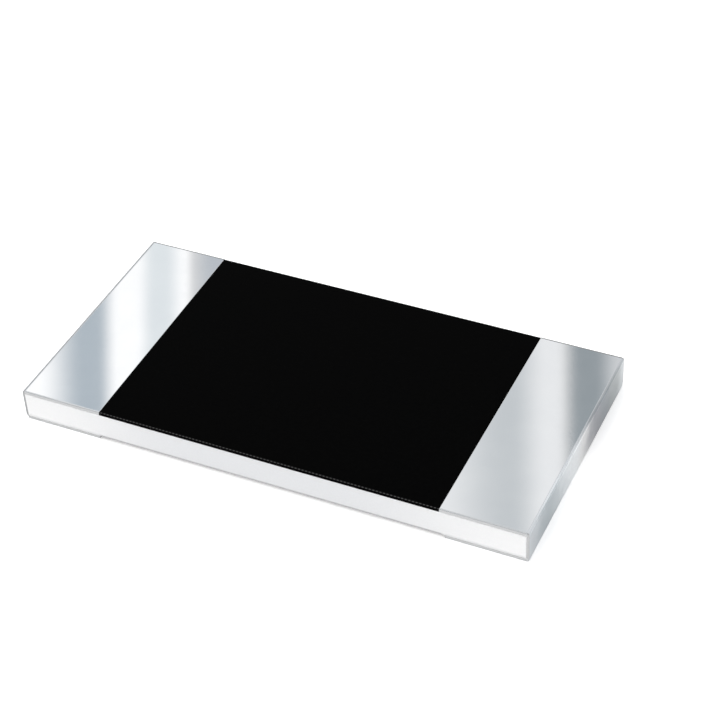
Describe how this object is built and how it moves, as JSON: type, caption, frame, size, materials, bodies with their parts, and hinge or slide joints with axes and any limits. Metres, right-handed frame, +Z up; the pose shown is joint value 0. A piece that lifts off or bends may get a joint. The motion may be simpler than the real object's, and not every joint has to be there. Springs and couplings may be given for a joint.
{
  "type": "chip resistor",
  "caption": "Flat surface-mount chip resistor: trimmed thick-film element on a white ceramic plate, under a black coat, with plated terminations wrapped round both ends.",
  "frame": {"origin": "middle of the underside, on the seating plane under the two end terminations", "axes": "+X along the length, +Y across the width, +Z up, out of the black coat"},
  "size_m": [0.0064, 0.0032, 0.0004],
  "materials": {
    "alumina": "matte",
    "silver": "satin",
    "resistive_film": "satin",
    "glass": "gloss",
    "overcoat": "matte",
    "nickel": "satin",
    "tin": "satin"
  },
  "bodies": {
    "root": {"ceramic_substrate": "alumina", "face_electrode_left": "silver", "face_electrode_right": "silver", "back_electrode_left": "silver", "back_electrode_right": "silver", "resistive_element": "resistive_film", "glass_coat": "glass", "protective_overcoat": "overcoat", "edge_electrode_left": "silver", "edge_electrode_right": "silver", "nickel_barrier_left": "nickel", "nickel_barrier_right": "nickel", "tin_plating_left": "tin", "tin_plating_right": "tin"}
  },
  "joints": []
}
